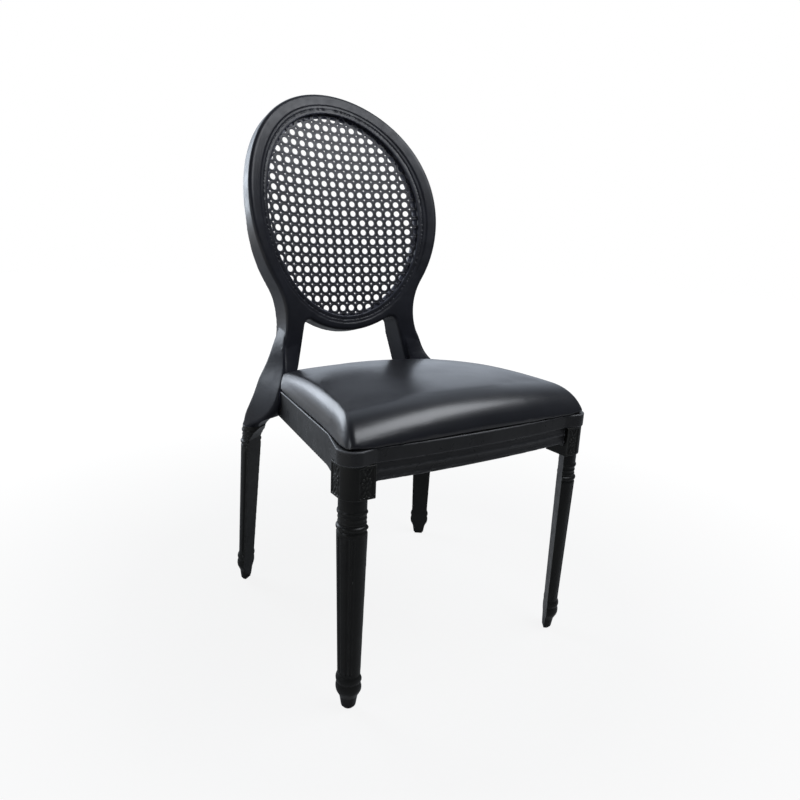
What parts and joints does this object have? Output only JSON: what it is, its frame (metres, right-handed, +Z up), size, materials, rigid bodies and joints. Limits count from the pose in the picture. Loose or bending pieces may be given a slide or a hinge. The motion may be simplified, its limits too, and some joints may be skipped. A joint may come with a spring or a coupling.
{
  "type": "dining chair",
  "caption": "Oval-back dining chair moulded in black resin, with a cane-pattern back panel, fluted legs and a padded leather seat.",
  "frame": {"origin": "on the floor, under the middle of the chair's box", "axes": "+X to the right seen from the front, +Y from front to back, +Z up"},
  "size_m": [0.484, 0.5923, 0.9836],
  "materials": {
    "frame_plastic": "satin black",
    "cane_plastic": "satin black",
    "retainer_plastic": "satin black",
    "screw_steel": "zinc plated",
    "insert_brass": "turned",
    "board_wood": "raw plywood",
    "pad_foam": "cut foam",
    "seat_leather": "smooth, satin gloss",
    "glide_plastic": "plain"
  },
  "bodies": {
    "root": {"back_frame": "frame_plastic", "seat_frame": "frame_plastic", "front_leg_left": "frame_plastic", "front_leg_right": "frame_plastic", "rear_leg_left": "frame_plastic", "rear_leg_right": "frame_plastic", "cane_panel": "cane_plastic", "cane_retaining_ring": "retainer_plastic", "retaining_ring_screws": "screw_steel", "front_leg_bolts": "screw_steel", "front_leg_washers": "screw_steel", "rear_leg_cross_bolts": "screw_steel", "back_bolts": "screw_steel", "back_bolt_washers": "screw_steel", "pad_screws": "screw_steel", "pad_tee_nuts": "screw_steel", "cover_staples": "screw_steel", "front_leg_inserts": "insert_brass", "back_inserts": "insert_brass", "seat_board": "board_wood", "seat_foam": "pad_foam", "seat_cover": "seat_leather", "foot_glide_front_left": "glide_plastic", "foot_glide_front_right": "glide_plastic", "foot_glide_rear_left": "glide_plastic", "foot_glide_rear_right": "glide_plastic"}
  },
  "joints": []
}
